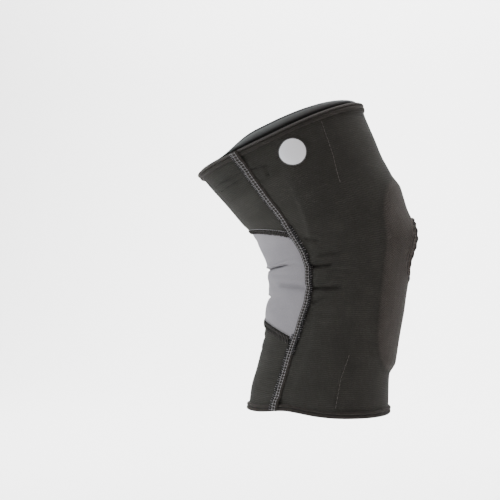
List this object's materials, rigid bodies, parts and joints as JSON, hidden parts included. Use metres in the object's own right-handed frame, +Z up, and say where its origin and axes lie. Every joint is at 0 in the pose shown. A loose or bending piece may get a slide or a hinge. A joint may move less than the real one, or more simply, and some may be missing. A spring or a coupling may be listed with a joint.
{
  "type": "knee brace",
  "caption": "Open-patella knee brace sleeve in its worn, slightly bent form, with a kneecap pad, stay pockets down the sides, a pale stretch panel behind the knee and hemmed ends.",
  "frame": {"origin": "middle of the knee inside the sleeve, level with the middle of the kneecap opening, where a knee holds the brace", "axes": "+X to the front, where the kneecap opening is; +Y to the wearer's left, the side away from the badge; +Z up, along the calf to about 2 degrees"},
  "size_m": [0.2028, 0.1502, 0.283],
  "materials": {
    "charcoal_knit": "matt padded charcoal knit",
    "hem_knit": "folded charcoal knit",
    "grey_stretch_knit": "smooth light grey stretch knit",
    "lining_knit": "grey lining knit with a slight sheen",
    "seam_thread": "light grey seam threads on dark cloth",
    "black_thread": "black overlock threads",
    "black_binding": "black elastic binding",
    "silver_print": "flat silver-grey badge, left bare"
  },
  "bodies": {
    "root": {"front_panel": "charcoal_knit", "upper_back_panel": "charcoal_knit", "lower_back_panel": "charcoal_knit", "popliteal_panel": "grey_stretch_knit", "top_hem": "hem_knit", "bottom_hem": "hem_knit", "lining_band": "lining_knit", "side_seam_near": "seam_thread", "side_seam_far": "seam_thread", "upper_cross_seam": "black_thread", "lower_cross_seam": "black_thread", "patella_binding": "black_binding", "emblem": "silver_print"}
  },
  "joints": []
}
